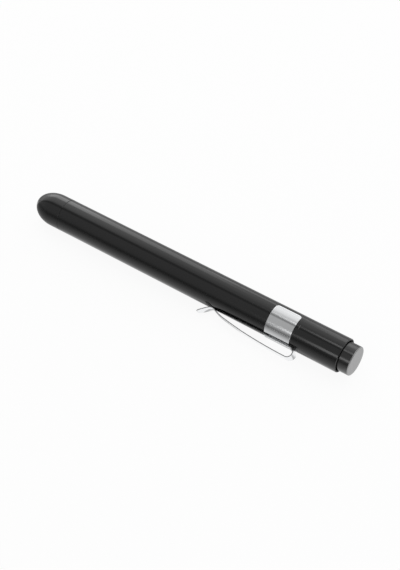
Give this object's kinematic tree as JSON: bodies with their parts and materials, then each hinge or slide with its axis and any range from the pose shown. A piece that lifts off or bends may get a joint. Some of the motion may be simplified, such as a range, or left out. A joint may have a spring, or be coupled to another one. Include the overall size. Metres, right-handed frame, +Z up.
{
  "type": "penlight",
  "caption": "Slim black aluminium penlight with a domed nose, a spring steel pocket clip and a push button at the tail.",
  "frame": {"origin": "on the surface that the penlight lies on, under the middle of its box", "axes": "+X along the barrel towards the button, nose towards -X, +Z up, pocket clip towards -Y"},
  "size_m": [0.1446, 0.017, 0.0138],
  "materials": {
    "black_anodised": "satin black anodised",
    "spring_steel": "bright polished spring steel",
    "disc_metal": "bare turned face",
    "lamp_clear": "clear moulded epoxy",
    "tinned_lead": "tinned",
    "holder_plastic": "moulded",
    "board_laminate": "solder resist",
    "resistor_body": "fired ceramic",
    "brass_contact": "turned or stamped",
    "seal_rubber": "matt",
    "cell_steel": "nickel plated",
    "cell_sleeve": "plain film sleeve",
    "cell_seal": "moulded",
    "spring_wire": "nickel plated wire",
    "base_fibre": "punched fibre sheet",
    "housing_plastic": "moulded",
    "rotor_plastic": "moulded",
    "plunger_plastic": "moulded",
    "retainer_metal": "turned"
  },
  "bodies": {
    "barrel": {"barrel": "black_anodised", "battery_spring": "spring_wire", "centre_rivet": "brass_contact", "switch_base": "base_fibre", "earth_ring": "brass_contact", "switch_housing": "housing_plastic", "return_spring": "spring_wire", "switch_retainer": "retainer_metal", "clip_band": "spring_steel", "front_cell_can": "cell_steel", "front_cell_sleeve": "cell_sleeve", "front_cell_seal": "cell_seal", "front_cell_cap": "cell_steel", "rear_cell_can": "cell_steel", "rear_cell_sleeve": "cell_sleeve", "rear_cell_seal": "cell_seal", "rear_cell_cap": "cell_steel"},
    "nose_seal": {"nose_o_ring": "seal_rubber"},
    "nose": {"nose_cap": "black_anodised", "led_lamp": "lamp_clear", "led_leads": "tinned_lead", "led_holder": "holder_plastic", "led_board": "board_laminate", "board_resistor": "resistor_body", "board_contact": "brass_contact", "nose_retainer": "brass_contact"},
    "button": {"push_button": "black_anodised", "button_disc": "disc_metal", "switch_plunger": "plunger_plastic", "switch_rotor": "rotor_plastic", "moving_contact": "brass_contact"},
    "clip_tongue": {"clip_tongue": "spring_steel"}
  },
  "joints": [
    {"name": "nose_draw", "type": "slide", "parent": "barrel", "child": "nose_seal", "axis": [-1, 0, 0], "range_m": [0, 0.0032]},
    {"name": "nose_turn", "type": "hinge", "parent": "nose_seal", "child": "nose", "pos_m": [-0.05866, 0.00196, 0.00692], "axis": [-1, 0, 0], "range_deg": [0, 1445]},
    {"name": "button_press", "type": "slide", "parent": "barrel", "child": "button", "axis": [-1, 0, 0], "range_m": [0, 0.0025], "stiffness_N_per_m": 800, "springref_m": -0.001, "deforming": ["return_spring"]},
    {"name": "clip_flex", "type": "hinge", "parent": "barrel", "child": "clip_tongue", "pos_m": [0.04974, -0.00642, 0.00272], "axis": [0, -0.4485, 0.8938], "range_deg": [0, 4], "stiffness_Nm_per_rad": 1}
  ],
  "couplings": [
    {"joint": "nose_turn", "follows": "nose_draw", "rad_per_m": 7854}
  ]
}
